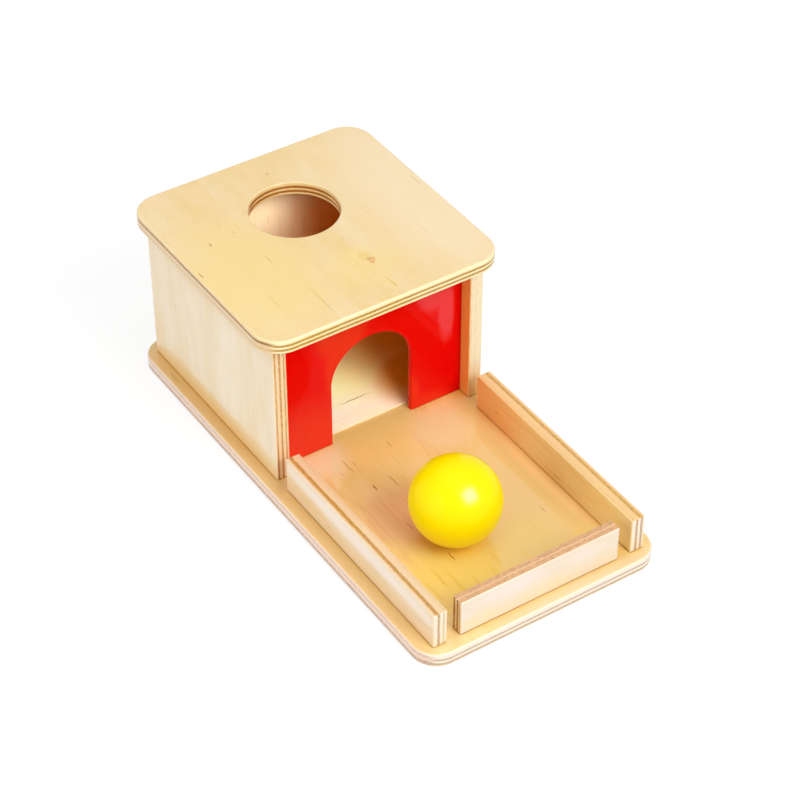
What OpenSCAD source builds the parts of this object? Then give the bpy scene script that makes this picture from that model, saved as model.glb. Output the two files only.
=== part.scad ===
// Object permanence box with a tray, cut from birch plywood and glued, dowelled and screwed together.
// A toddler drops the ball through the hole in the roof; it lands on the ramp and rolls out of the
// arched doorway into the tray. X runs across, the tray's open end faces -Y, and Z = 0 is the table.

/* [Base board] */
// Length of the base board, tray end to back end
base_l = 302; // [285:1:340]
// Width of the base board
base_w = 150; // [135:1:180]
// Thickness of the base board
base_t = 8.5; // [7:0.5:12]
// Radius of the base board's four corners
base_corner_r = 15; // [8:1:25]
// Strip of base board that shows beside the walls and in front of the rails
base_margin = 7.5; // [5:0.5:12]
// Strip of base board that shows behind the back wall
back_margin = 9; // [5:0.5:15]

/* [House walls] */
// Length of the side walls, front to back
wall_l = 134.5; // [120:0.5:145]
// Height of the walls
wall_h = 94.5; // [85:0.5:130]
// Thickness of the side walls and the back wall
wall_t = 8.5; // [7.5:0.5:12]

/* [Front panel] */
// Thickness of the painted front panel
panel_t = 4; // [3:0.5:6]
// How far the panel sits back from the side walls' front edges
panel_recess = 8.5; // [5:0.5:14]
// Depth of the grooves in the side walls that hold the panel
groove_depth = 3; // [2:0.5:4]
// Gap between the panel and each face of its groove
groove_gap = 0.25; // [0.1:0.05:0.5]
// Gap between the ball and each side of the doorway
doorway_gap = 0.6; // [0.5:0.1:4]
// Height of the doorway up to the top of its arch
doorway_h = 66; // [60:0.5:75]
// Rounding of the doorway's edges
doorway_edge_r = 1.3; // [0.6:0.1:1.8]

/* [Roof board] */
// Thickness of the roof board
roof_t = 8.5; // [7.5:0.5:12]
// Radius of the roof board's four corners
roof_corner_r = 16.5; // [8:0.5:25]
// How far the roof reaches past the side walls' front edges
roof_front_overhang = 10; // [4:0.5:15]
// How far the roof reaches past the back wall
roof_back_overhang = 7.5; // [4:0.5:9]
// How far the roof reaches past each side wall
roof_side_overhang = 8; // [4:0.5:12]
// Distance from the roof's back edge to the centre of the ball hole
hole_from_back = 55.5; // [50:0.5:75]
// Gap all round the ball in the hole
hole_gap = 0.4; // [0.3:0.1:3]
// Rounding of the hole's rims
hole_edge_r = 0.8; // [0.4:0.1:1.5]

/* [Board edges] */
// Rounding of the top edges of the base and roof boards
top_edge_r = 1.5; // [0.8:0.1:2.5]
// Rounding of the bottom edges of the base and roof boards
bottom_edge_r = 1; // [0.5:0.1:2]
// Softening of the edges of the walls, rails and panel
arris_r = 0.7; // [0.3:0.1:1.2]

/* [Ramp] */
// Thickness of the ramp board
ramp_t = 5; // [3:0.5:7]
// Slope of the ramp in degrees
ramp_angle = 16; // [12:1:22]
// Gap between the front panel and the ramp's nose
ramp_nose_gap = 3; // [1:0.5:6]
// Height of the ramp's blunt nose
ramp_nose_h = 1.2; // [0.8:0.1:2]
// Gap between the ramp and the walls beside and behind it
ramp_fit = 0.2; // [0.1:0.05:0.5]
// Thickness of the two wedges that carry the ramp
wedge_t = 12; // [8:1:18]
// How far each wedge stands in from its side wall
wedge_inset = 6; // [2:1:15]

/* [Rails] */
// Height of the three tray rails
rail_h = 22.5; // [20:0.5:30]
// Thickness of the side rails
side_rail_t = 8.5; // [7.5:0.5:12]
// How far the side rails stand in from the base's side edges
side_rail_inset = 8; // [5:0.5:12]
// Gap between a side rail's back end and the house
side_rail_gap = 9; // [4:0.5:20]
// Thickness of the front rail
front_rail_t = 7.5; // [7.5:0.5:12]
// Gap between each end of the front rail and the side rail beside it
front_rail_gap = 8.25; // [4:0.25:20]

/* [Ball] */
// Diameter of the ball
ball_d = 50.5; // [46:0.5:54]
// Place of the ball's centre across the tray, from the middle
ball_x = -11; // [-20:1:20]
// Distance from the base's front edge to the ball's centre
ball_from_front = 69.5; // [45:0.5:110]

/* [Fasteners] */
// Diameter of the wood screws' shanks
screw_d = 3.5; // [3:0.5:4]
// Length of the wood screws
screw_l = 25; // [20:1:28]
// Diameter of the screws' countersunk heads
screw_head_d = 7; // [6:0.5:8]
// Diameter of the glued dowels
dowel_d = 5; // [4:0.5:6]
// Length of the glued dowels
dowel_l = 20; // [16:1:26]
// Depth of a dowel's seat in the board that it enters square to its face
dowel_seat = 5; // [4:0.5:6]
// Gap round a screw or dowel in its hole
fastener_gap = 0.05; // [0.03:0.01:0.1]

/* [Hidden] */
$fn = 96;

// One overrun carries every cutter past the face that it opens
overrun = 1;
// Space left under a dowel's end for glue
glue_space = 0.4;
// Distance of a fastener from the end of the piece that it holds
end_setback = 24;
// Side screws of the back wall stand this far from its ends
back_setback = 22;
// How far a screw head lies below the base board's underside
head_recess = 0.4;
// Length of the straight lip of a screw head above its cone
head_lip = 0.5;
// Length of a screw's pointed tip
tip_l = 4;
// Width, reach and depth of one bar of the cross recess in a screw head
cross_w = 0.9;
cross_reach = 3.6;
cross_depth = 1.4;
// Bevel on a dowel's ends
dowel_bevel = 0.6;
// Heights of the corner dowels, as shares of the wall's height
corner_dowel_shares = [0.3, 0.7];
// Air left under the loose ball
ball_lift = 0.3;

// Base, walls and roof
base_front = -base_l / 2;
side_x = base_w / 2 - base_margin;
inner_x = side_x - wall_t;
house_back = base_l / 2 - back_margin;
house_front = house_back - wall_l;
back_face = house_back - wall_t;
wall_x = side_x - wall_t / 2;
back_y = house_back - wall_t / 2;
eaves_z = base_t + wall_h;
roof_l = wall_l + roof_front_overhang + roof_back_overhang;
roof_w = 2 * (side_x + roof_side_overhang);
roof_back = house_back + roof_back_overhang;
roof_y = roof_back - roof_l / 2;
hole_y = roof_back - hole_from_back;
hole_r = ball_d / 2 + hole_gap;

// Front panel, its grooves and its doorway
panel_front = house_front + panel_recess;
panel_back = panel_front + panel_t;
panel_y = panel_front + panel_t / 2;
panel_w = 2 * (inner_x + groove_depth - groove_gap);
panel_h = wall_h - groove_gap;
doorway_r = ball_d / 2 + doorway_gap;
spring_z = base_t + doorway_h - doorway_r;

// Ramp: its top runs from the nose up to the back wall
ramp_front = panel_back + ramp_nose_gap;
ramp_back = back_face - ramp_fit;
ramp_run = ramp_back - ramp_front;
ramp_rise = ramp_run * tan(ramp_angle);
ramp_depth = ramp_t / cos(ramp_angle);
ramp_w = 2 * (inner_x - ramp_fit);
heel_run = (ramp_depth - ramp_nose_h) / tan(ramp_angle);

// Rails
rail_front = base_front + base_margin;
side_rail_x = base_w / 2 - side_rail_inset - side_rail_t / 2;
side_rail_l = house_front - side_rail_gap - rail_front;
side_rail_y = rail_front + side_rail_l / 2;
front_rail_y = rail_front + front_rail_t / 2;
front_rail_l = 2 * (side_rail_x - side_rail_t / 2 - front_rail_gap);

// The ball rests on the base board, which is the tray's floor
ball_z = base_t + ball_lift + ball_d / 2;

// Fasteners: screws come up through the base, dowels join walls to roof and back wall to sides
screw_r = screw_d / 2;
screw_bore_r = screw_r + fastener_gap;
head_r = screw_head_d / 2;
head_cone = head_r - screw_r;
screw_reach = head_recess + screw_l;
dowel_r = dowel_d / 2;
dowel_bore_r = dowel_r + fastener_gap;
dowel_bite = dowel_l - dowel_seat + glue_space;
side_wall_ys = [house_front + end_setback, house_back - end_setback];
side_rail_ys = [for (s = [-1, 1]) side_rail_y + s * (side_rail_l / 2 - end_setback)];
back_wall_xs = [for (s = [-1, 1]) s * (inner_x - back_setback)];
front_rail_xs = [for (s = [-1, 1]) s * (front_rail_l / 2 - end_setback)];
corner_zs = [for (share = corner_dowel_shares) base_t + wall_h * share];
screw_places = concat(
    [for (s = [-1, 1], y = side_wall_ys) [s * wall_x, y]],
    [for (x = back_wall_xs) [x, back_y]],
    [for (s = [-1, 1], y = side_rail_ys) [s * side_rail_x, y]],
    [for (x = front_rail_xs) [x, front_rail_y]]);
roof_dowel_places = concat(
    [for (s = [-1, 1], y = side_wall_ys) [s * wall_x, y]],
    [for (x = back_wall_xs) [x, back_y]]);

// Rectangle with round corners, centred
module round_rect(a, b, r) {
    square([a - 2 * r, b], center = true);
    square([a, b - 2 * r], center = true);
    for (sx = [-1, 1], sy = [-1, 1])
        translate([sx * (a / 2 - r), sy * (b / 2 - r)]) circle(r);
}

// Block standing on Z = 0 with every edge softened
module soft_block(w, l, h, r) {
    intersection() {
        linear_extrude(h) round_rect(w, l, r);
        translate([0, 0, h / 2]) rotate([90, 0, 0])
            linear_extrude(l, center = true) round_rect(w, h, r);
        translate([0, 0, h / 2]) rotate([90, 0, 90])
            linear_extrude(w, center = true) round_rect(l, h, r);
    }
}

// Section through a board's rim: reach outwards along X, thickness along Y
module rim_section(reach, t) {
    square([reach - top_edge_r, t]);
    square([reach - bottom_edge_r, bottom_edge_r]);
    translate([0, bottom_edge_r]) square([reach, t - top_edge_r - bottom_edge_r]);
    translate([reach - top_edge_r, t - top_edge_r]) circle(top_edge_r);
    translate([reach - bottom_edge_r, bottom_edge_r]) circle(bottom_edge_r);
}

// Board with round corners and rounded-over edges, standing on Z = 0
module eased_board(w, l, t, r) {
    for (flip = [0, 1]) mirror([0, flip, 0]) {
        rotate([90, 0, 90])
            linear_extrude(w - 2 * r, center = true) rim_section(l / 2, t);
        for (side = [0, 1]) mirror([side, 0, 0]) translate([w / 2 - r, 0, 0]) {
            rotate([90, 0, 0]) mirror([0, 0, 1]) linear_extrude(l / 2 - r) rim_section(r, t);
            translate([0, l / 2 - r, 0]) rotate_extrude(angle = 90) rim_section(r, t);
        }
    }
}

// Cutter for a round hole down through a board whose rims are rounded with radius e
module eased_hole(r, e, t) {
    translate([0, 0, -overrun]) cylinder(h = t + 2 * overrun, r = r);
    for (z = [0, t]) translate([0, 0, z]) rotate_extrude() difference() {
        translate([0, -e]) square([r + e, 2 * e]);
        translate([r + e, z == 0 ? e : -e]) circle(e);
    }
}

// Hole in the base board for one screw: countersink below, clearance bore above
module screw_hole() {
    translate([0, 0, -overrun]) cylinder(h = base_t + 2 * overrun, r = screw_bore_r);
    translate([0, 0, -overrun])
        cylinder(h = overrun + head_recess + head_lip, r = head_r + fastener_gap);
    translate([0, 0, head_recess + head_lip])
        cylinder(h = head_cone, r1 = head_r + fastener_gap, r2 = screw_bore_r);
}

// Blind bore for the part of a screw that stands above the base board
module screw_pilot() {
    translate([0, 0, base_t - overrun])
        cylinder(h = overrun + screw_reach - base_t + glue_space, r = screw_bore_r);
}

// Countersunk wood screw, head down at the base's underside, with a cross recess
module screw() {
    translate([0, 0, head_recess]) difference() {
        union() {
            cylinder(h = head_lip, r = head_r);
            translate([0, 0, head_lip]) cylinder(h = head_cone, r1 = head_r, r2 = screw_r);
            cylinder(h = screw_l - tip_l, r = screw_r);
            translate([0, 0, screw_l - tip_l]) cylinder(h = tip_l, r1 = screw_r, r2 = 0);
        }
        for (a = [0, 90]) rotate(a)
            translate([-cross_reach / 2, -cross_w / 2, -overrun])
                cube([cross_reach, cross_w, overrun + cross_depth]);
    }
}

// Dowel along +Z, from z = 0
module dowel() {
    cylinder(h = dowel_bevel, r1 = dowel_r - dowel_bevel, r2 = dowel_r);
    translate([0, 0, dowel_bevel]) cylinder(h = dowel_l - 2 * dowel_bevel, r = dowel_r);
    translate([0, 0, dowel_l - dowel_bevel])
        cylinder(h = dowel_bevel, r1 = dowel_r, r2 = dowel_r - dowel_bevel);
}

// Dowel bores round the joint plane Z = 0: the seat above it and the long bite below
module dowel_bore() {
    translate([0, 0, -dowel_bite])
        cylinder(h = dowel_bite + dowel_seat + glue_space, r = dowel_bore_r);
}

// Every dowel bore between the walls and the roof
module roof_dowel_bores() {
    for (p = roof_dowel_places) translate([p[0], p[1], eaves_z]) dowel_bore();
}

// Every dowel bore between the side walls and the back wall
module corner_dowel_bores() {
    for (s = [-1, 1], z = corner_zs)
        translate([s * inner_x, back_y, z]) rotate([0, s * 90, 0]) dowel_bore();
}

module base_board() {
    color("burlywood") difference() {
        eased_board(base_w, base_l, base_t, base_corner_r);
        for (p = screw_places) translate([p[0], p[1], 0]) screw_hole();
    }
}

// Side wall at side -1 (left) or +1 (right), grooved on its inner face for the front panel
module side_wall(side) {
    color("wheat") difference() {
        translate([side * wall_x, house_back - wall_l / 2, base_t])
            soft_block(wall_t, wall_l, wall_h, arris_r);
        translate([side * inner_x, panel_y, base_t + wall_h / 2])
            cube([2 * groove_depth, panel_t + 2 * groove_gap, wall_h + 2 * overrun], center = true);
        for (y = side_wall_ys) translate([side * wall_x, y, 0]) screw_pilot();
        roof_dowel_bores();
        corner_dowel_bores();
    }
}

module left_wall() {
    side_wall(-1);
}

module right_wall() {
    side_wall(1);
}

module back_wall() {
    color("wheat") difference() {
        translate([0, back_y, base_t]) soft_block(2 * inner_x, wall_t, wall_h, arris_r);
        for (x = back_wall_xs) translate([x, back_y, 0]) screw_pilot();
        roof_dowel_bores();
        corner_dowel_bores();
    }
}

// Half of the doorway's rounded reveal, as a section: X is the distance from the opening's
// centre line and Y runs through the panel
module reveal_section() {
    difference() {
        translate([0, -overrun]) square([doorway_r + doorway_edge_r, panel_t + 2 * overrun]);
        translate([doorway_r, doorway_edge_r])
            square([doorway_edge_r + overrun, panel_t - 2 * doorway_edge_r]);
        for (y = [doorway_edge_r, panel_t - doorway_edge_r])
            translate([doorway_r + doorway_edge_r, y]) circle(doorway_edge_r);
    }
}

// Cutter for the arched doorway: a turned head over straight jambs, with rounded edges
module doorway_cutter() {
    translate([0, panel_front, spring_z]) rotate([-90, 0, 0])
        rotate_extrude() reveal_section();
    for (side = [0, 1]) mirror([side, 0, 0])
        translate([0, panel_front, base_t - overrun])
            linear_extrude(spring_z - base_t + overrun) reveal_section();
}

module front_panel() {
    color("red") difference() {
        translate([0, panel_y, base_t]) soft_block(panel_w, panel_t, panel_h, arris_r);
        doorway_cutter();
    }
}

module roof_board() {
    color("moccasin") difference() {
        translate([0, roof_y, eaves_z]) eased_board(roof_w, roof_l, roof_t, roof_corner_r);
        translate([0, hole_y, eaves_z]) eased_hole(hole_r, hole_edge_r, roof_t);
        roof_dowel_bores();
    }
}

// Side view of the ramp: blunt nose on the base, heel cut flat, back end square to the base
module ramp_board() {
    color("bisque") translate([-ramp_w / 2, ramp_front, base_t]) rotate([90, 0, 90])
        linear_extrude(ramp_w) polygon([
            [0, 0], [0, ramp_nose_h],
            [ramp_run, ramp_nose_h + ramp_rise],
            [ramp_run, ramp_nose_h + ramp_rise - ramp_depth],
            [heel_run, 0]]);
}

// Wedge glued under the ramp at side -1 or +1
module ramp_wedge(side) {
    wedge_x = side * (inner_x - wedge_inset - wedge_t / 2);
    color("tan") translate([wedge_x, ramp_front, base_t]) rotate([90, 0, 90])
        linear_extrude(wedge_t, center = true) polygon([
            [heel_run, 0],
            [ramp_run, ramp_nose_h + ramp_rise - ramp_depth],
            [ramp_run, 0]]);
}

module left_ramp_wedge() {
    ramp_wedge(-1);
}

module right_ramp_wedge() {
    ramp_wedge(1);
}

// Side rail at side -1 (left) or +1 (right)
module side_rail(side) {
    color("antiquewhite") difference() {
        translate([side * side_rail_x, side_rail_y, base_t])
            soft_block(side_rail_t, side_rail_l, rail_h, arris_r);
        for (y = side_rail_ys) translate([side * side_rail_x, y, 0]) screw_pilot();
    }
}

module left_rail() {
    side_rail(-1);
}

module right_rail() {
    side_rail(1);
}

module front_rail() {
    color("antiquewhite") difference() {
        translate([0, front_rail_y, base_t])
            soft_block(front_rail_l, front_rail_t, rail_h, arris_r);
        for (x = front_rail_xs) translate([x, front_rail_y, 0]) screw_pilot();
    }
}

module ball() {
    color("yellow") translate([ball_x, base_front + ball_from_front, ball_z])
        sphere(d = ball_d);
}

module base_screws() {
    color("silver") for (p = screw_places) translate([p[0], p[1], 0]) screw();
}

module roof_dowels() {
    color("peru") for (p = roof_dowel_places)
        translate([p[0], p[1], eaves_z + dowel_seat - dowel_l]) dowel();
}

module corner_dowels() {
    color("peru") for (s = [-1, 1], z = corner_zs)
        translate([s * inner_x, back_y, z]) rotate([0, s * 90, 0])
            translate([0, 0, dowel_seat - dowel_l]) dowel();
}

base_board();
left_wall();
right_wall();
back_wall();
front_panel();
roof_board();
ramp_board();
left_ramp_wedge();
right_ramp_wedge();
left_rail();
right_rail();
front_rail();
ball();
base_screws();
roof_dowels();
corner_dowels();
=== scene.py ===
import bpy
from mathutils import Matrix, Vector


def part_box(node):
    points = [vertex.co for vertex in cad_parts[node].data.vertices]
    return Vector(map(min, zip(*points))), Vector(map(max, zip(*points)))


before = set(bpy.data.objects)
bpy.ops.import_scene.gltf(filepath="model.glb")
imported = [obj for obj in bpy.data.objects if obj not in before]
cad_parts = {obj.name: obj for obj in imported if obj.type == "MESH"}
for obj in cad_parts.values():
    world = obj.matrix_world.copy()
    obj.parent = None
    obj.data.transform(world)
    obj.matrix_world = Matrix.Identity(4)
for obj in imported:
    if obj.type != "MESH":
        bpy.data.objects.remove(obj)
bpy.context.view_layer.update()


# Base board. One birch plywood board, five veneers thick, with round corners and rounded-over
# edges; the front half is the tray's floor. Its face grain runs from the tray to the house, and
# it is finished with clear gloss lacquer, which turns the wood honey-coloured.
def node(tree, kind, values=None, **settings):
    made = tree.nodes.new("ShaderNode" + kind)
    for key, value in settings.items():
        setattr(made, key, value)
    for key, value in (values or {}).items():
        if isinstance(value, bpy.types.NodeSocket):
            tree.links.new(value, made.inputs[key])
        else:
            made.inputs[key].default_value = value
    return made


def calc(tree, operation, first, second=0.0, third=0.0):
    return node(tree, "Math", {0: first, 1: second, 2: third}, operation=operation).outputs[0]


def graded(tree, factor, stops):
    made = node(tree, "ValToRGB", {"Fac": factor})
    band = made.color_ramp
    band.elements[0].position, band.elements[1].position = stops[0][0], stops[-1][0]
    for place, _ in stops[1:-1]:
        band.elements.new(place)
    for element, (_, tone) in zip(band.elements, stops):
        element.color = (*tone, 1) if isinstance(tone, tuple) else (tone, tone, tone, 1)
    return made.outputs["Color"]


def mixed(tree, share, first, second, mode="MIX"):
    made = node(tree, "Mix", {"Factor": share}, data_type="RGBA", blend_type=mode)
    colours = [s for s in made.inputs if s.type == "RGBA"]
    for socket, value in zip(colours, (first, second)):
        if isinstance(value, bpy.types.NodeSocket):
            tree.links.new(value, socket)
        else:
            socket.default_value = (*value, 1)
    return next(s for s in made.outputs if s.type == "RGBA")


def tinted(tree, colour, tint):
    return mixed(tree, 1.0, colour, tint, "MULTIPLY")


def noise(tree, vector, scale=1.0, detail=2.0, roughness=0.5):
    return node(tree, "TexNoise", {"Vector": vector, "Scale": scale, "Detail": detail,
                                   "Roughness": roughness}).outputs[0]


def finish(name, roughness, specular=0.5):
    made = bpy.data.materials.new(name)
    made.use_nodes = True
    surface = made.node_tree.nodes["Principled BSDF"]
    surface.inputs["Roughness"].default_value = roughness
    surface.inputs["Specular IOR Level"].default_value = specular
    return made, made.node_tree, surface


# The grain's own coordinates: stretched along it, shifted by the seed, so no two boards match
def grain_map(tree, across, along, depth, scales, seed):
    return node(tree, "CombineXYZ", {
        "X": calc(tree, "MULTIPLY_ADD", across, scales[0], seed * 3.17),
        "Y": calc(tree, "MULTIPLY_ADD", along, scales[1], seed * 1.31),
        "Z": calc(tree, "MULTIPLY", depth, scales[0])}).outputs[0]


# Face veneer: broad pale and warm patches, short flames, growth lines, fine fibres and pores. A
# face has four tones in that order: pale wood, warm wood, growth line, pore. The two faces of a
# board are cut from different places, so the upper one has its own figure.
def veneer(tree, across, along, depth, upper, faces, seed, flecks, lines):
    pale_wood, warm_wood, growth_line, pore = range(4)
    across = calc(tree, "MULTIPLY_ADD", upper, 0.61, across)

    def grain(scales, cut, detail, roughness=0.5):
        spot = grain_map(tree, across, along, depth, scales, seed + cut)
        return noise(tree, spot, 1.0, detail, roughness)

    def toned(factor, stops):
        low, high = (graded(tree, factor, [(at, tones[n]) for at, n in stops]) for tones in faces)
        return mixed(tree, upper, low, high)

    figure = grain((30, 6), 0, 3)
    flames = grain((150, 22), 2, 2)
    blend = calc(tree, "ADD", figure, calc(tree, "MULTIPLY_ADD", flames, 0.30, -0.15))
    face = toned(blend, [(0.34, pale_wood), (0.56, warm_wood), (0.75, pale_wood)])
    cloudy = grain((85, 38), 5, 2)
    patchy = graded(tree, cloudy, [(0.32, (0.97, 0.95, 0.83)), (0.66, (1.0, 1.0, 1.0))])
    face = tinted(tree, face, patchy)

    line_tone = toned(figure, [(0.0, growth_line), (1.0, growth_line)])
    wander = grain((26, 2.6), 7, 2)
    rings = calc(tree, "PINGPONG", calc(tree, "MULTIPLY", wander, 8.0), 0.5)
    rings = graded(tree, rings, [(0.0, 1.0), (0.03, 0.5), (0.09, 0.0)])
    patches = graded(tree, cloudy, [(0.48, 0.0), (0.60, 1.0)])
    rings = calc(tree, "MULTIPLY", calc(tree, "MULTIPLY", rings, patches), lines)
    face = mixed(tree, rings, face, line_tone)

    fibres = grain((1300, 45), 0, 2, 0.6)
    face = tinted(tree, face, graded(tree, fibres, [(0.3, 0.965), (0.7, 1.0)]))
    hairs = grain((800, 24), 4, 1, 0.4)
    hairs = calc(tree, "MULTIPLY", graded(tree, hairs, [(0.66, 0.0), (0.72, 1.0)]), lines)
    face = mixed(tree, hairs, face, line_tone)
    pores = graded(tree, grain((900, 70), 3, 1, 0.4), [(0.735, 0.0), (0.77, 1.0)])
    sparse = graded(tree, patches, [(0.2, 1.0), (0.6, 0.0)])
    pores = calc(tree, "MULTIPLY", calc(tree, "MULTIPLY", pores, sparse), flecks)
    return mixed(tree, pores, face, toned(figure, [(0.0, pore), (1.0, pore)])), fibres


# Single marks in the face: (across, along, half width, half length, strength), in metres. Each
# is a little wavy, and reaches its full strength at the core's share of its size.
def marked(tree, face, side, across, along, marks, tone, core=0.3):
    wobble = 0.0016
    spot = node(tree, "CombineXYZ", {"X": across, "Y": along}).outputs[0]
    bent = calc(tree, "MULTIPLY_ADD", noise(tree, spot, 300.0), wobble,
                calc(tree, "SUBTRACT", across, wobble / 2))
    total = None
    for x, y, wide, long, strength in marks:
        near = node(tree, "CombineXYZ", {
            "X": calc(tree, "MULTIPLY", calc(tree, "SUBTRACT", bent, x), 1 / wide),
            "Y": calc(tree, "MULTIPLY", calc(tree, "SUBTRACT", along, y), 1 / long)}).outputs[0]
        length = node(tree, "VectorMath", {0: near}, operation="LENGTH").outputs["Value"]
        there = node(tree, "MapRange", {"Value": length, "From Min": 1.0, "From Max": core,
                                        "To Max": strength},
                     interpolation_type="SMOOTHSTEP").outputs[0]
        total = there if total is None else calc(tree, "MAXIMUM", total, there)
    return mixed(tree, calc(tree, "MULTIPLY", total, side), face, tone)


# Birch plywood. Each cut edge is (the axis it faces, pale ply, brown ply, brown lines), and a line
# is (its place as a share of the thickness, its width, its strength). The first entry is used
# wherever no other one faces. Marks are (their list, their colour), all on one face.
#
# A board that slopes gives its tilt and the heights of its two faces, the span. Coat is how much
# lacquer it has, and ragged how torn its cut edges are. Foot is the height where a painted shade
# starts to darken the plies, the height where it is darkest, and the brown and the pale ply's
# tones there.
# The last argument is how far out of a corner, and from under the ball, a painted warm shade
# reaches.
def plywood(name, piece, grain, thickness, faces, edges, seed, flecks, lines, marks=(),
            marked_face="lower", tilt=0.0, span=None, coat=0.8, ragged=0.03, edge_foot_shade=None,
            warm_shade_reach=None):
    made, tree, surface = finish(name, 0.5, 0.2 + 0.3 * coat)
    surface.inputs["Coat Weight"].default_value = coat
    surface.inputs["Coat Roughness"].default_value = 0.07
    place, slope = node(tree, "TexCoord").outputs, {"Rotation": (tilt, 0, 0)}
    level = node(tree, "Mapping", {"Vector": place["Object"], **slope}).outputs[0]
    turned = node(tree, "Mapping", {"Vector": place["Normal"], **slope}).outputs[0]
    split = node(tree, "SeparateXYZ", {0: level}).outputs
    facing = node(tree, "SeparateXYZ", {0: turned}).outputs
    along, depth = split[grain], split[thickness]
    across = split[({"X", "Y", "Z"} - {grain, thickness}).pop()]
    low, high = span or (corner["XYZ".index(thickness)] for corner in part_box(piece))
    share = node(tree, "MapRange", {"Value": depth, "From Min": low, "From Max": high}).outputs[0]

    upper = calc(tree, "GREATER_THAN", share, 0.5)
    side = upper if marked_face == "upper" else calc(tree, "SUBTRACT", 1.0, upper)
    face, fibres = veneer(tree, across, along, depth, upper, faces, seed, flecks, lines)
    for places, tone in marks:
        face = marked(tree, face, side, across, along, places, tone)

    # The cut edges: plies by depth, a little wavy, with the pores of end grain
    wavy = share
    for scale, reach in ((70.0, 0.06), (420.0, ragged)):
        off = calc(tree, "MULTIPLY_ADD", noise(tree, level, scale), reach, -reach / 2)
        wavy = calc(tree, "ADD", wavy, off)
    speckle = noise(tree, grain_map(tree, across, along, depth, (1300, 420), seed), 1.0, 2, 0.7)
    colour = cross = None
    for axis, pale, brown, strips in edges:
        stops = [(0.0, 0.0)]
        for middle, wide, strength in strips:
            first, last = middle - wide / 2, middle + wide / 2
            stops += [(first - 0.02, 0.0), (first + 0.03, strength),
                      (last - 0.03, strength), (last + 0.02, 0.0)]
        plies = graded(tree, wavy, stops + [(1.0, 0.0)])
        pale = tinted(tree, pale, graded(tree, speckle, [(0.35, 0.94), (0.6, 1.0)]))
        brown = tinted(tree, brown, graded(tree, speckle, [(0.35, 0.78), (0.65, 1.28)]))
        # Painted shade: the cut edges darken towards the bottom, where the rail in front shades
        # them
        if edge_foot_shade:
            starts, darkest, brown_in_shade, pale_in_shade = edge_foot_shade
            near = node(tree, "MapRange", {"Value": split["Z"], "From Min": starts,
                                           "From Max": darkest}).outputs[0]
            brown, pale = mixed(tree, near, brown, brown_in_shade), mixed(tree, near, pale, pale_in_shade)
        cut = mixed(tree, plies, pale, brown)
        if colour is None:
            colour, cross = cut, plies
        else:
            start, end = (corner["XYZ".index(axis)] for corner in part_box(piece))
            off = calc(tree, "ABSOLUTE", calc(tree, "SUBTRACT", split[axis], (start + end) / 2))
            outer = calc(tree, "GREATER_THAN", off, 0.4 * (end - start))
            there = graded(tree, calc(tree, "ABSOLUTE", facing[axis]), [(0.55, 0.0), (0.80, 1.0)])
            there = calc(tree, "MULTIPLY", there, outer)
            colour, cross = mixed(tree, there, colour, cut), mixed(tree, there, cross, plies)
    inside = graded(tree, share, [(0.0, 0.0), (0.03, 0.0), (0.06, 1.0),
                                  (0.94, 1.0), (0.97, 0.0), (1.0, 0.0)])
    colour = mixed(tree, inside, face, colour)

    # Handling rubs the rounded edges a little paler, and a painted shade darkens the cracks where
    # two boards meet
    level_share = calc(tree, "POWER", facing[thickness], 2.0)
    steep = calc(tree, "SQRT", calc(tree, "SUBTRACT", 1.0, level_share))
    rim = calc(tree, "MAXIMUM", steep, calc(tree, "ABSOLUTE", facing[thickness]))
    rubbed = calc(tree, "MULTIPLY", graded(tree, rim, [(0.80, 1.0), (0.97, 0.0)]),
                  graded(tree, noise(tree, level, 160.0), [(0.35, 0.1), (0.7, 0.4)]))
    colour = mixed(tree, rubbed, colour, (0.92, 0.77, 0.54))
    crevice = node(tree, "AmbientOcclusion", {"Distance": 0.0013}, samples=4).outputs["AO"]
    crevice_shade = graded(tree, crevice, [(0.25, (0.62, 0.42, 0.26)), (0.62, (1.0, 1.0, 1.0))])
    colour = tinted(tree, colour, crevice_shade)
    # Painted warm shade: yellower and darker near corners and under the ball
    if warm_shade_reach:
        sheltered = node(tree, "AmbientOcclusion", {"Distance": warm_shade_reach}, samples=8).outputs["AO"]
        painted_warm_shade = graded(tree, sheltered, [(0.15, (0.98, 0.80, 0.22)), (0.75, (1.0, 1.0, 1.0))])
        colour = tinted(tree, colour, painted_warm_shade)
    tree.links.new(colour, surface.inputs["Base Color"])
    rough = calc(tree, "MULTIPLY_ADD", cross, 0.2, calc(tree, "MULTIPLY_ADD", fibres, 0.2, 0.35))
    tree.links.new(rough, surface.inputs["Roughness"])
    height = calc(tree, "SUBTRACT", fibres, calc(tree, "MULTIPLY", cross, 0.8))
    bump = node(tree, "Bump", {"Height": height, "Strength": 0.3, "Distance": 0.00004})
    tree.links.new(bump.outputs[0], surface.inputs["Normal"])
    return made


def dress(name, material):
    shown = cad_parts[name]
    shown.material_slots[0].material = material


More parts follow.
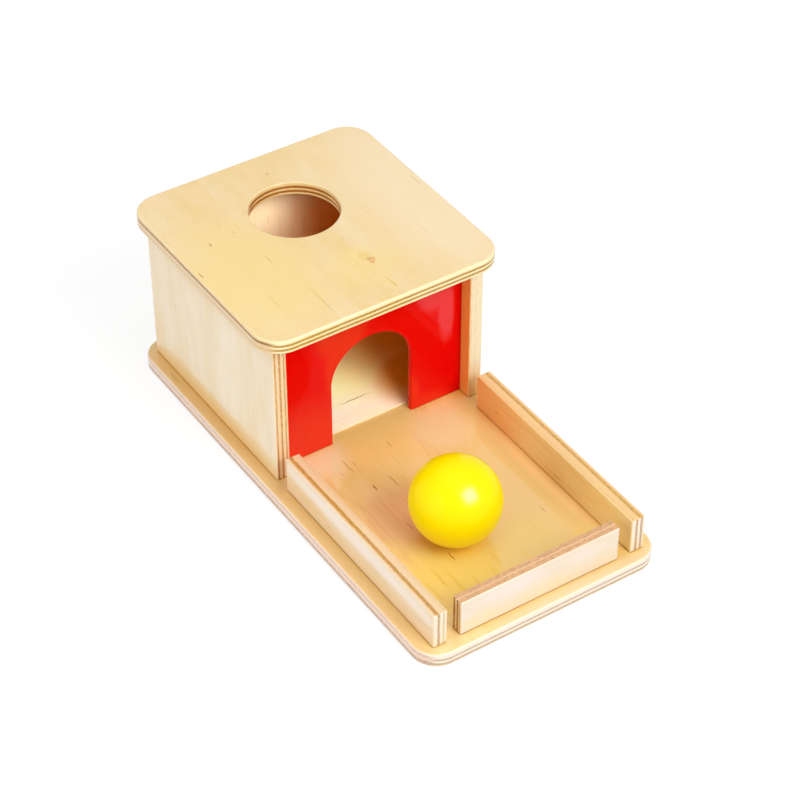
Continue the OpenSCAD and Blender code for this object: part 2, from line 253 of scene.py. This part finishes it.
honey_face = ((0.91, 0.70, 0.34), (0.88, 0.63, 0.23), (0.66, 0.34, 0.07), (0.36, 0.13, 0.02))
base_edges = [("Y", (0.90, 0.77, 0.62), (0.52, 0.37, 0.25),
               [(0.22, 0.17, 1.0), (0.56, 0.15, 1.0)]),
              ("X", (0.90, 0.64, 0.47), (0.56, 0.38, 0.29),
               [(0.24, 0.34, 0.95), (0.76, 0.20, 0.55)])]
tray_flecks = [(-0.0291, -0.004, 0.0004, 0.009, 0.8), (-0.0261, -0.0264, 0.0006, 0.0035, 1.0),
               (-0.0145, -0.0277, 0.0004, 0.008, 0.8), (-0.0214, -0.0934, 0.0004, 0.0055, 1.0),
               (-0.0002, -0.001, 0.0004, 0.004, 0.7), (-0.0272, -0.062, 0.0005, 0.0055, 0.7),
               (0.0399, -0.091, 0.0004, 0.004, 0.7), (-0.0253, -0.0041, 0.0004, 0.004, 0.6),
               (-0.0713, 0.114, 0.0005, 0.009, 0.5)]
# Painted shade: darkens the tray's right half, which the soft box lights more than the left
painted_tray_right_shade = [(0.040, -0.075, 0.045, 0.100, 0.9)]
# Painted light: a pale pool on the tray in front of the doorway
painted_doorway_light = [(-0.005, 0.008, 0.036, 0.034, 0.9)]
# Painted reflection of the red panel in the lacquer, either side of the doorway
painted_panel_reflection = [(-0.040, 0.010, 0.022, 0.024, 0.8), (0.031, -0.006, 0.024, 0.026, 0.5)]
# Painted shadow of the ball, pinkish, on the tray behind it to the left
painted_ball_shadow = [(-0.028, -0.051, 0.024, 0.034, 0.38)]
strip_rosy = [(-0.074, 0.010, 0.012, 0.300, 0.9)]
# Painted light: yellow light bounced from the ball onto the tray in front of it
painted_ball_bounce = [(-0.020, -0.100, 0.045, 0.034, 0.85), (0.020, -0.125, 0.060, 0.022, 0.35)]
tray_ochre = [(0.016, -0.105, 0.034, 0.030, 0.8)]
strip_front = [(0.020, -0.1490, 0.085, 0.0080, 0.8)]
tray_flames = [(-0.030, -0.112, 0.0014, 0.016, 0.4), (-0.036, -0.104, 0.0010, 0.012, 0.5),
               (-0.021, -0.120, 0.0012, 0.012, 0.5), (-0.009, -0.118, 0.0016, 0.013, 0.35),
               (-0.044, -0.110, 0.0012, 0.014, 0.4), (0.012, -0.116, 0.0010, 0.014, 0.35),
               (0.028, -0.100, 0.0010, 0.012, 0.3), (-0.003, -0.108, 0.0009, 0.009, 0.45)]
# Painted light: lifts the tray along the right rail's foot, out of the rail's shadow
painted_light_by_rail = [(0.058, -0.072, 0.010, 0.080, 0.9)]
base_marks = [(painted_tray_right_shade, (0.74, 0.51, 0.18)), (painted_doorway_light, (0.95, 0.62, 0.20)),
              (painted_panel_reflection, (0.88, 0.76, 0.46)), (painted_ball_shadow, (0.96, 0.56, 0.38)),
              (painted_ball_bounce, (0.85, 0.64, 0.16)), (tray_ochre, (0.73, 0.52, 0.15)),
              (tray_flames, (0.72, 0.45, 0.02)), (strip_rosy, (0.79, 0.50, 0.20)),
              (painted_light_by_rail, (1.00, 0.68, 0.29)), (strip_front, (0.82, 0.61, 0.35)),
              (tray_flecks, (0.34, 0.11, 0.02))]
base_birch = plywood("base_birch", "base_board", grain="Y", thickness="Z",
                     faces=(honey_face, honey_face), edges=base_edges, seed=1, flecks=0.5,
                     lines=0.35, marks=base_marks, marked_face="upper", coat=1.0,
                     warm_shade_reach=0.010)
dress("base_board", base_birch)


# Side walls and back wall. Birch plywood with the grain upright, glued and screwed to the base and
# dowelled together; they are paler outside than inside, where a deeper orange is painted shade and
# red bounce light, and their front edges show the plies.
outside = ((0.91, 0.77, 0.56), (0.88, 0.71, 0.47), (0.72, 0.56, 0.36), (0.50, 0.33, 0.18))
shaded_inside_face = ((0.90, 0.46, 0.12), (0.86, 0.39, 0.08), (0.62, 0.28, 0.07), (0.40, 0.17, 0.05))
cream_face = ((0.95, 0.80, 0.58), (0.93, 0.74, 0.48), (0.66, 0.40, 0.17), (0.40, 0.20, 0.08))
left_edges = [("Y", (0.93, 0.71, 0.44), (0.58, 0.32, 0.11),
               [(0.16, 0.13, 0.9), (0.49, 0.15, 1.0), (0.80, 0.12, 0.9)])]
right_edges = [("Y", (0.89, 0.76, 0.49), (0.82, 0.62, 0.36),
                [(0.12, 0.14, 0.6), (0.46, 0.13, 0.5)])]
left_streaks = [(0.1141, 0.0589, 0.0005, 0.0035, 0.5), (0.1034, 0.0442, 0.0005, 0.006, 0.4),
                (0.0846, 0.0728, 0.0006, 0.011, 0.3), (0.030, 0.040, 0.0006, 0.014, 0.2)]
# Painted shade: a warm, darker band along the outer face's foot, next to the base
painted_warm_foot_shade = [(0.075, 0.004, 0.150, 0.021, 0.9), (0.030, 0.006, 0.018, 0.032, 0.5),
             (0.112, 0.006, 0.022, 0.030, 0.5), (0.136, 0.010, 0.012, 0.050, 0.4)]
# Painted shadow: the roof's shade on the outer face, just under the eave
painted_eave_shadow = [(0.075, 0.104, 0.150, 0.022, 0.8)]
left_marks = [(painted_warm_foot_shade, (0.86, 0.55, 0.20)), (painted_eave_shadow, (0.76, 0.54, 0.25)),
              (left_streaks, (0.55, 0.36, 0.18))]
left_birch = plywood("left_wall_birch", "left_wall", grain="Z", thickness="X",
                     faces=(outside, shaded_inside_face), edges=left_edges, seed=11, flecks=0.3,
                     lines=0.2, marks=left_marks,
                     edge_foot_shade=(0.040, 0.018, (0.46, 0.16, 0.02), (0.90, 0.62, 0.34)))
dress("left_wall", left_birch)
right_birch = plywood("right_wall_birch", "right_wall", grain="Z", thickness="X",
                      faces=(shaded_inside_face, outside), edges=right_edges, seed=12, flecks=0.3,
                      lines=0.2, edge_foot_shade=(0.036, 0.012, (0.60, 0.30, 0.10), (0.80, 0.42, 0.14)))
dress("right_wall", right_birch)
# Painted shade: the back wall's inner face darkens to deep orange towards the right, inside the
# house
painted_back_wall_shade = [(0.083, 0.050, 0.090, 0.080, 1.0)]
back_birch = plywood("back_wall_birch", "back_wall", grain="Z", thickness="Y",
                     faces=(cream_face, outside), edges=left_edges, seed=13, flecks=0.3,
                     lines=0.3, marks=[(painted_back_wall_shade, (0.90, 0.30, 0.015))], coat=0.0)
dress("back_wall", back_birch)


# Front panel. Thin board with an arched doorway, sprayed in several coats of red gloss paint, and
# slid into the grooves of the side walls; the paint is a little uneven, and painted reflections of
# the tray and of the white paper turn it orange round the doorway and pink in its top right
# corner.
def gloss_paint(name, colour, thin, roughness, specular, seed, marks=()):
    made, tree, surface = finish(name, roughness, specular)
    place = node(tree, "TexCoord").outputs["Object"]
    cloudy = noise(tree, place, 28.0 + seed, 3)
    tone = mixed(tree, graded(tree, cloudy, [(0.35, 0.0), (0.7, 0.4)]), colour, thin)
    split = node(tree, "SeparateXYZ", {0: place}).outputs
    for places, shade in marks:
        tone = marked(tree, tone, 1.0, split["X"], split["Z"], places, shade, core=0.55)
    tree.links.new(tone, surface.inputs["Base Color"])
    specks = noise(tree, place, 900.0)
    rough = calc(tree, "MULTIPLY_ADD", specks, 0.04, roughness - 0.02)
    tree.links.new(rough, surface.inputs["Roughness"])
    peel = noise(tree, place, 240.0, 2, 0.45)
    bump = node(tree, "Bump", {"Height": peel, "Strength": 0.1, "Distance": 0.00005})
    tree.links.new(bump.outputs[0], surface.inputs["Normal"])
    return made


# Painted reflections in the gloss: the tray, orange-red, and the white paper beyond the right
# rail, pink
painted_tray_reflection = [(-0.045, -0.020, 0.085, 0.078, 1.0), (-0.018, 0.060, 0.0150, 0.050, 0.8),
             (-0.019, 0.088, 0.020, 0.028, 0.9), (0.0256, 0.008, 0.0085, 0.032, 0.8),
             (0.034, 0.000, 0.026, 0.021, 0.85)]
painted_paper_reflection = [(0.0415, 0.089, 0.0150, 0.0185, 0.9), (0.0490, 0.071, 0.0065, 0.026, 0.9)]
red = gloss_paint("red_gloss_paint", colour=(0.78, 0.0, 0.0), thin=(0.75, 0.001, 0.0),
                  roughness=0.06, specular=0.09, seed=0,
                  marks=[(painted_tray_reflection, (0.80, 0.028, 0.005)), (painted_paper_reflection, (0.82, 0.045, 0.050))])
dress("front_panel", red)


# Ramp. Thin birch plywood sloping from the back wall to the doorway, its nose planed blunt; it is
# glued on two beech wedges that stand on the base inside the house.
ramp_face = ((0.95, 0.85, 0.70), (0.94, 0.81, 0.62), (0.66, 0.42, 0.18), (0.38, 0.20, 0.08))
ramp_edges = [("Y", (0.97, 0.85, 0.64), (0.50, 0.26, 0.10),
               [(0.32, 0.10, 0.8), (0.66, 0.10, 0.8)])]
ramp_slope, ramp_faces = 0.27925, (-0.00202, 0.00298)
ramp_streak = [(0.0393, 0.0016, 0.0005, 0.013, 0.9)]
# Painted light and shade inside the house: a yellow half shade behind the nose, and a deep orange
# shade where the jamb and the arch shade the ramp
painted_ramp_half_shade = [(0.060, 0.010, 0.032, 0.056, 0.85)]
ramp_shade = [(0.085, 0.062, 0.085, 0.080, 1.0), (0.042, 0.045, 0.035, 0.040, 1.0)]
ramp_marks = [(painted_ramp_half_shade, (0.95, 0.92, 0.42)), (ramp_shade, (0.82, 0.28, 0.01)),
              (ramp_streak, (0.46, 0.24, 0.07))]
ramp_birch = plywood("ramp_birch", "ramp_board", grain="X", thickness="Z",
                     faces=(ramp_face, ramp_face), edges=ramp_edges, seed=21, flecks=0.1,
                     lines=0.15, marks=ramp_marks, marked_face="upper", tilt=-ramp_slope,
                     span=ramp_faces, coat=0.0)
dress("ramp_board", ramp_birch)


def beech(name, grain, tones, seed):
    made, tree, surface = finish(name, 0.55)
    split = node(tree, "SeparateXYZ", {0: node(tree, "TexCoord").outputs["Object"]}).outputs
    along = split[grain]
    across, depth = (split[axis] for axis in sorted({"X", "Y", "Z"} - {grain}))
    pale_wood, dark_wood, ray = tones
    figure = noise(tree, grain_map(tree, across, along, depth, (120, 12), seed), 1.0, 3, 0.6)
    wood = graded(tree, figure, [(0.3, pale_wood), (0.7, dark_wood)])
    rays = noise(tree, grain_map(tree, across, along, depth, (1400, 320), seed), 1.0, 1)
    rays = graded(tree, rays, [(0.62, 0.0), (0.70, 0.6)])
    tree.links.new(mixed(tree, rays, wood, ray), surface.inputs["Base Color"])
    bump = node(tree, "Bump", {"Height": figure, "Strength": 0.3, "Distance": 0.00008})
    tree.links.new(bump.outputs[0], surface.inputs["Normal"])
    return made


beech_tones = ((0.70, 0.45, 0.24), (0.58, 0.35, 0.18), (0.36, 0.19, 0.09))
for name in ("left_ramp_wedge", "right_ramp_wedge"):
    dress(name, beech(name + "_beech", "Y", beech_tones, seed=23))


# Roof board. Birch plywood like the base, with the ball hole bored near the back and its rims
# rounded; the palest veneer of the box, cream yellow with a few fine dark pores and one small
# knot. It is glued and dowelled on the walls.
roof_face = ((0.83, 0.645, 0.37), (0.82, 0.595, 0.28), (0.72, 0.52, 0.16), (0.34, 0.16, 0.04))
# The bored rim's plies are painted deeper orange and darker than the front edge's, for the shade
# in the hole
roof_edges = [("Z", (1.00, 0.74, 0.33), (0.42, 0.14, 0.005),
               [(0.31, 0.19, 1.0), (0.64, 0.19, 1.0)]),
              ("Y", (0.90, 0.82, 0.47), (0.48, 0.24, 0.025),
               [(0.31, 0.18, 1.0), (0.63, 0.18, 1.0)]),
              ("X", (0.80, 0.56, 0.28), (0.33, 0.165, 0.015),
               [(0.27, 0.18, 0.2), (0.73, 0.20, 1.0)])]
roof_flecks = [(0.0048, 0.1311, 0.0004, 0.0023, 0.9), (-0.0389, 0.0942, 0.0004, 0.0017, 0.8),
               (-0.0551, 0.0913, 0.0005, 0.0023, 1.0), (-0.0729, 0.0707, 0.0005, 0.004, 1.0),
               (-0.030, 0.0136, 0.0004, 0.014, 0.3), (0.0716, 0.080, 0.0005, 0.009, 0.4),
               (0.0097, 0.0078, 0.0004, 0.004, 0.4), (-0.042, 0.105, 0.0004, 0.004, 0.3),
               (-0.0355, 0.0629, 0.0004, 0.007, 0.3)]
roof_lines = [(0.0089, 0.0102, 0.0007, 0.008, 0.9), (-0.030, 0.020, 0.0005, 0.016, 0.7),
              (-0.0355, 0.0629, 0.0004, 0.009, 0.6), (0.0028, 0.0354, 0.0004, 0.009, 0.6),
              (-0.052, 0.030, 0.0004, 0.012, 0.5), (0.050, 0.040, 0.0004, 0.014, 0.4),
              (-0.012, 0.015, 0.0004, 0.010, 0.5)]
roof_yellow = [(-0.052, 0.055, 0.050, 0.075, 0.7), (0.004, 0.030, 0.035, 0.024, 0.5),
               (0.006, 0.038, 0.012, 0.010, 0.9), (0.0089, 0.010, 0.004, 0.010, 0.5)]
roof_pale = [(0.066, 0.070, 0.055, 0.120, 0.75)]
knot_stain = [(0.0088, 0.0368, 0.0050, 0.0060, 0.8)]
knot_rim = [(0.0101, 0.0334, 0.0021, 0.0023, 1.0), (0.0116, 0.0328, 0.0020, 0.0022, 1.0),
            (0.0102, 0.0309, 0.0019, 0.0028, 1.0)]
knot_heart = [(0.0108, 0.0318, 0.0013, 0.0017, 0.9)]
roof_marks = [(roof_yellow, (0.83, 0.62, 0.23)), (roof_pale, (0.84, 0.67, 0.42)),
              (roof_lines, (0.66, 0.46, 0.12)), (roof_flecks, (0.36, 0.17, 0.03)),
              (knot_stain, (0.76, 0.54, 0.17)), (knot_rim, (0.66, 0.35, 0.10)),
              (knot_heart, (0.84, 0.45, 0.16))]
roof_birch = plywood("roof_birch", "roof_board", grain="Y", thickness="Z",
                     faces=(roof_face, roof_face), edges=roof_edges, seed=31, flecks=0.25,
                     lines=0.35, marks=roof_marks, marked_face="upper")
dress("roof_board", roof_birch)


# Dowels. Short beech pins with the grain along them, glued blind: six between the walls and the
# roof, and four between the back wall and the side walls.
for name, way in (("roof_dowels", "Z"), ("corner_dowels", "X")):
    dress(name, beech(name + "_beech", way, beech_tones, seed=41))


# Tray rails. Three strips of birch plywood screwed and glued on the base: two along the sides and
# a shorter, thinner one across the open end. Their tops and ends show the plies.
rail_outside = ((0.91, 0.72, 0.50), (0.89, 0.65, 0.40), (0.72, 0.46, 0.24), (0.50, 0.30, 0.14))
rail_inside = ((0.95, 0.74, 0.36), (0.93, 0.66, 0.29), (0.62, 0.28, 0.07), (0.36, 0.13, 0.03))
rail_end = ("Y", (0.92, 0.77, 0.57), (0.50, 0.31, 0.17), [(0.38, 0.18, 1.0), (0.74, 0.14, 0.5)])
left_top = ("Z", (0.80, 0.57, 0.33), (0.50, 0.25, 0.045), [(0.31, 0.24, 1.0), (0.84, 0.09, 0.25)])
pinkish_band = [(0.0255, -0.072, 0.0085, 0.110, 0.9)]
left_rail_birch = plywood("left_rail_birch", "left_rail", grain="Y", thickness="X",
                          faces=(rail_outside, rail_inside), edges=[rail_end, left_top], seed=51,
                          flecks=0.5, lines=0.4, ragged=0.07,
                          marks=[(pinkish_band, (0.91, 0.79, 0.66))])
dress("left_rail", left_rail_birch)
right_end = ("Y", rail_end[1], rail_end[2], [(0.38, 0.18, 1.0), (0.74, 0.18, 0.95)])
right_top = ("Z", (0.83, 0.53, 0.22), (0.56, 0.31, 0.06), [(0.15, 0.10, 0.2), (0.69, 0.22, 1.0)])
house_shade = [(0.020, -0.003, 0.050, 0.060, 0.9)]
dark_pore = [(0.018, -0.0208, 0.0004, 0.0035, 0.9)]
right_rail_birch = plywood("right_rail_birch", "right_rail", grain="Y", thickness="X",
                           faces=(rail_inside, rail_outside), edges=[right_end, right_top],
                           seed=52, flecks=0.5, lines=0.4,
                           marks=[(house_shade, (0.84, 0.40, 0.11)),
                                  (dark_pore, (0.36, 0.13, 0.03))])
dress("right_rail", right_rail_birch)
front_face = ((0.87, 0.76, 0.65), (0.85, 0.71, 0.58), (0.72, 0.54, 0.38), (0.58, 0.40, 0.26))
front_end = ("X", (0.92, 0.66, 0.37), (0.34, 0.14, 0.05),
             [(0.16, 0.12, 0.5), (0.41, 0.18, 1.0), (0.79, 0.18, 1.0)])
front_top = ("Z", (0.79, 0.50, 0.27), (0.56, 0.29, 0.12), [(0.27, 0.38, 0.8), (0.75, 0.38, 0.85)])
front_cloud = [(0.013, 0.002, 0.011, 0.034, 0.5), (0.014, -0.036, 0.007, 0.017, 0.45),
               (0.012, 0.040, 0.008, 0.012, 0.3)]
front_blush = [(0.026, -0.020, 0.008, 0.030, 0.6), (0.024, 0.030, 0.006, 0.020, 0.4)]
front_rail_birch = plywood("front_rail_birch", "front_rail", grain="X", thickness="Y",
                           faces=(front_face, rail_inside), edges=[front_end, front_top],
                           seed=53, flecks=0.2, lines=0.1, ragged=0.1,
                           marks=[(front_cloud, (0.90, 0.72, 0.42)),
                                  (front_blush, (0.87, 0.76, 0.70))])
dress("front_rail", front_rail_birch)


# Screws. Twelve zinc-plated countersunk wood screws with cross recesses, driven up through the
# base board; only their heads show, from below.
def zinc(name):
    made, tree, surface = finish(name, 0.32)
    surface.inputs["Metallic"].default_value = 1.0
    cloudy = noise(tree, node(tree, "TexCoord").outputs["Object"], 420.0, 3, 0.6)
    tone = graded(tree, cloudy, [(0.3, (0.62, 0.62, 0.60)), (0.7, (0.76, 0.76, 0.74))])
    tree.links.new(tone, surface.inputs["Base Color"])
    rough = calc(tree, "MULTIPLY_ADD", cloudy, 0.2, 0.22)
    tree.links.new(rough, surface.inputs["Roughness"])
    return made


dress("base_screws", zinc("zinc_plate"))


# Ball. Turned wooden ball of about two inches, sprayed in yellow gloss paint. It lies loose on
# the tray, and drops through the hole in the roof with less than half a millimetre all round.
yellow = gloss_paint("yellow_gloss_paint", colour=(0.97, 0.77, 0.0), thin=(0.96, 0.76, 0.0),
                     roughness=0.24, specular=0.10, seed=9)
dress("ball", yellow)


# Floor. The white paper that the box stands on; the camera sees it white, it keeps the soft shadow
# round the base board, and it fades into the white of the room from half a metre out.
def seen_rays(tree):
    rays = node(tree, "LightPath").outputs
    seen = calc(tree, "MAXIMUM", rays["Is Camera Ray"], rays["Is Glossy Ray"])
    return calc(tree, "MAXIMUM", seen, rays["Is Transmission Ray"])


bpy.ops.mesh.primitive_plane_add(size=8.0, location=(0, 0, 0))
floor = bpy.context.object
floor.name = "floor"
paper, tree, surface = finish("white_paper", 0.9)
surface.inputs["Base Color"].default_value = (0.75, 0.75, 0.75, 1)
dim = node(tree, "BsdfDiffuse", {"Color": (0.24, 0.24, 0.24, 1)})
glow = node(tree, "Emission", {"Color": (1, 1, 1, 1), "Strength": 0.79})
shadowed = node(tree, "AddShader", {0: dim.outputs[0], 1: glow.outputs[0]})
place = node(tree, "TexCoord").outputs["Object"]
reach = node(tree, "VectorMath", {0: place}, operation="LENGTH").outputs["Value"]
fade = node(tree, "MapRange", {"Value": reach, "From Min": 0.45, "From Max": 1.4}).outputs[0]
white = node(tree, "Emission", {"Color": (1, 1, 1, 1), "Strength": 1.0})
shown = node(tree, "MixShader", {0: fade, 1: shadowed.outputs[0], 2: white.outputs[0]})
choice = node(tree, "MixShader", {0: seen_rays(tree), 1: surface.outputs[0], 2: shown.outputs[0]})
tree.links.new(choice.outputs[0], tree.nodes["Material Output"].inputs["Surface"])
floor.data.materials.append(paper)


# Light. A white studio all round, one soft box in front and to the right, a pale screen overhead
# and one on the left that lifts the side of the house.
world = bpy.data.worlds.new("white_studio")
bpy.context.scene.world = world
world.use_nodes = True
sky = world.node_tree
room = sky.nodes["Background"].inputs
room_light = 0.46
strength = calc(sky, "MULTIPLY_ADD", seen_rays(sky), 1.0 - room_light, room_light)
sky.links.new(strength, room["Strength"])
room["Color"].default_value = (1, 1, 1, 1)


def screen(name, place, turn, size, energy):
    made = bpy.data.objects.new(name, bpy.data.lights.new(name, "AREA"))
    bpy.context.scene.collection.objects.link(made)
    made.location, made.rotation_euler = place, turn
    made.data.size, made.data.energy = size, energy
    return made


softbox_place, softbox_turn = (0.376, -1.58, 1.52), (0.813, 0.0, 0.241)
screen("softbox", softbox_place, softbox_turn, size=1.10, energy=29.0)
overhead = screen("overhead", (-0.1, -0.05, 1.5), (0.0, 0.0, 0.0), size=1.2, energy=5.6)
side = screen("side_screen", (-1.2, -0.1, 0.50), (1.176, 0.0, -1.488), size=0.9, energy=5.2)

# Two cards bounce the soft box into the house, so the ramp and the back wall are as bright as the
# tray, and a third makes the glint on the ball
doorway = screen("doorway_card", softbox_place, softbox_turn, size=1.50, energy=34.0)
hole = screen("hole_card", (0.0, -1.60, 1.55), (0.858, 0.0, 0.0), size=1.30, energy=46.0)
glint = screen("glint_card", softbox_place, softbox_turn, size=1.10, energy=215.0)
for fill in (overhead, side, doorway, hole):
    fill.visible_glossy = False
glint.visible_diffuse = False
for card, name in ((doorway, "ramp_board"), (hole, "back_wall"), (glint, "ball")):
    card.light_linking.receiver_collection = bpy.data.collections.new("lit_by_" + card.name)
    card.light_linking.receiver_collection.objects.link(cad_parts[name])


# Camera. It stands at the front left, looks down on the tray and into the hole, and has a long
# lens, so the far end of the box is hardly smaller than the near one.
camera = bpy.data.objects.new("camera", bpy.data.cameras.new("camera"))
bpy.context.scene.collection.objects.link(camera)
camera.location = (-0.55701, -0.85344, 0.91497)
camera.rotation_euler = (0.861345, 0.0, -0.584588)
camera.data.sensor_width = 36.0
camera.data.lens = 110.48
camera.data.clip_end = 20.0
bpy.context.scene.camera = camera
bpy.context.scene.view_settings.view_transform = "Standard"
